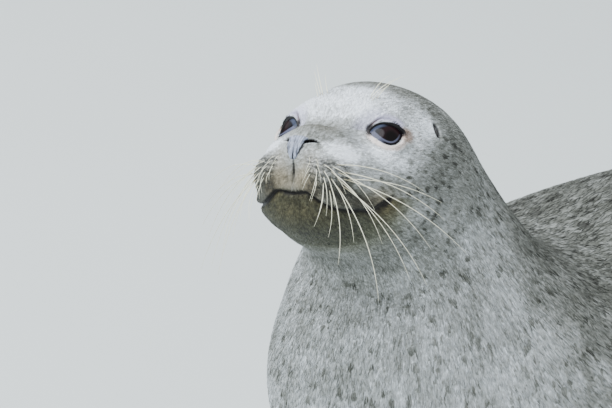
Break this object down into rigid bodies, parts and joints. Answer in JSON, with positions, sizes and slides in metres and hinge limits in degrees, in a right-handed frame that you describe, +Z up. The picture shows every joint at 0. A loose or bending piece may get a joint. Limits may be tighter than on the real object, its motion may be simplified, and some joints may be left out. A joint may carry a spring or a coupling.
{
  "type": "harbor seal",
  "caption": "Life-size harbor seal lying on its belly with neck and head raised, short grey spotted coat, dark eyes, pale whiskers, clawed fore and hind flippers.",
  "frame": {"origin": "middle of the flat under the belly, on the floor", "axes": "+Z up, +X to the seal's left, the seal's head at -Y and its hind flippers at +Y"},
  "size_m": [0.577, 1.2894, 0.5291],
  "materials": {
    "coat": "short damp fur, pale grey with dark spots",
    "chin_coat": "short damp fur, olive grey",
    "nose": "bare moist leather, blue grey",
    "ear": "bare dark skin",
    "eye": "wet, near black",
    "claw": "dull horn",
    "whisker": "stiff pale hair"
  },
  "bodies": {
    "root": {"head": "coat", "lower_jaw": "chin_coat", "nose": "nose", "neck": "coat", "chest": "coat", "belly": "coat", "hips": "coat", "rump": "coat", "tail": "coat", "ear_left": "ear", "eye_left": "eye", "fore_flipper_left": "coat", "fore_claw_left_1": "claw", "fore_claw_left_2": "claw", "fore_claw_left_3": "claw", "fore_claw_left_4": "claw", "fore_claw_left_5": "claw", "hind_flipper_left": "coat", "hind_claw_left_1": "claw", "hind_claw_left_2": "claw", "hind_claw_left_3": "claw", "hind_claw_left_4": "claw", "hind_claw_left_5": "claw", "ear_right": "ear", "eye_right": "eye", "fore_flipper_right": "coat", "fore_claw_right_1": "claw", "fore_claw_right_2": "claw", "fore_claw_right_3": "claw", "fore_claw_right_4": "claw", "fore_claw_right_5": "claw", "hind_flipper_right": "coat", "hind_claw_right_1": "claw", "hind_claw_right_2": "claw", "hind_claw_right_3": "claw", "hind_claw_right_4": "claw", "hind_claw_right_5": "claw"}
  },
  "joints": []
}
